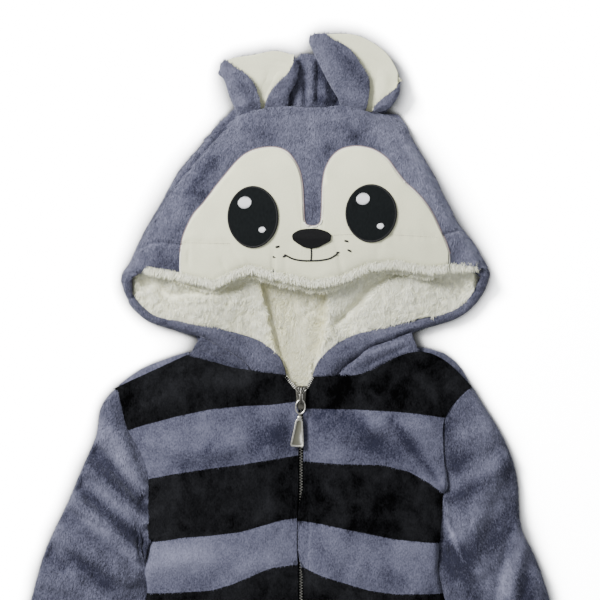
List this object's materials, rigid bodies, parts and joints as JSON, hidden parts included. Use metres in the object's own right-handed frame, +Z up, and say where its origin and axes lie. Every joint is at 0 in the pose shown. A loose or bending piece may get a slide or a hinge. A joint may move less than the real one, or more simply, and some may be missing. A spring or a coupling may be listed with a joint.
{
  "type": "onesie pajama",
  "caption": "Child's hooded one-piece plush pyjama with a front zip, striped front and animal-face hood with ears, laid flat face up.",
  "frame": {"origin": "centre of the underside of the box around the laid garment, on the surface it lies on", "axes": "+Y from the ankles to the hood, +Z up from the surface through the front, +X to the side of the wearer's left arm"},
  "size_m": [0.6336, 1.2682, 0.0448],
  "materials": {
    "plush": "brushed coral-fleece plush, soft and matte",
    "front_plush": "brushed plush with broad black stripes",
    "sherpa": "curled cream sherpa pile",
    "velour": "short ivory velour",
    "eye_velvet": "short black velvet",
    "nose_thread": "satin-stitched thread",
    "zip_tape": "woven polyester tape",
    "zip_metal": "nickel-plated metal",
    "pull_metal": "nickel-plated frame with a matt field"
  },
  "bodies": {
    "root": {"back": "plush", "front_left": "front_plush", "front_right": "front_plush", "sleeve_left": "plush", "sleeve_right": "plush", "hood_back": "plush", "hood_face": "plush", "hood_crown": "plush", "hood_rim_left": "plush", "hood_rim_right": "plush", "collar_left": "plush", "collar_right": "plush", "ear_left_outer": "plush", "ear_right_outer": "plush", "hood_lining": "sherpa", "hood_facing": "sherpa", "hood_mask": "velour", "ear_left_inner": "velour", "ear_right_inner": "velour", "eye_left": "eye_velvet", "eye_right": "eye_velvet", "nose": "nose_thread", "zip_tape_left": "zip_tape", "zip_tape_right": "zip_tape", "zip_chain": "zip_metal", "zip_open_left": "zip_metal", "zip_open_right": "zip_metal", "zip_slider": "zip_metal"},
    "pull": {"pull_tab": "pull_metal"}
  },
  "joints": [
    {"name": "pull_hinge", "type": "hinge", "parent": "root", "child": "pull", "pos_m": [0.008, 0.2357, 0.0188], "axis": [-0.9903, 0.1392, 0], "range_deg": [0, 130]}
  ]
}
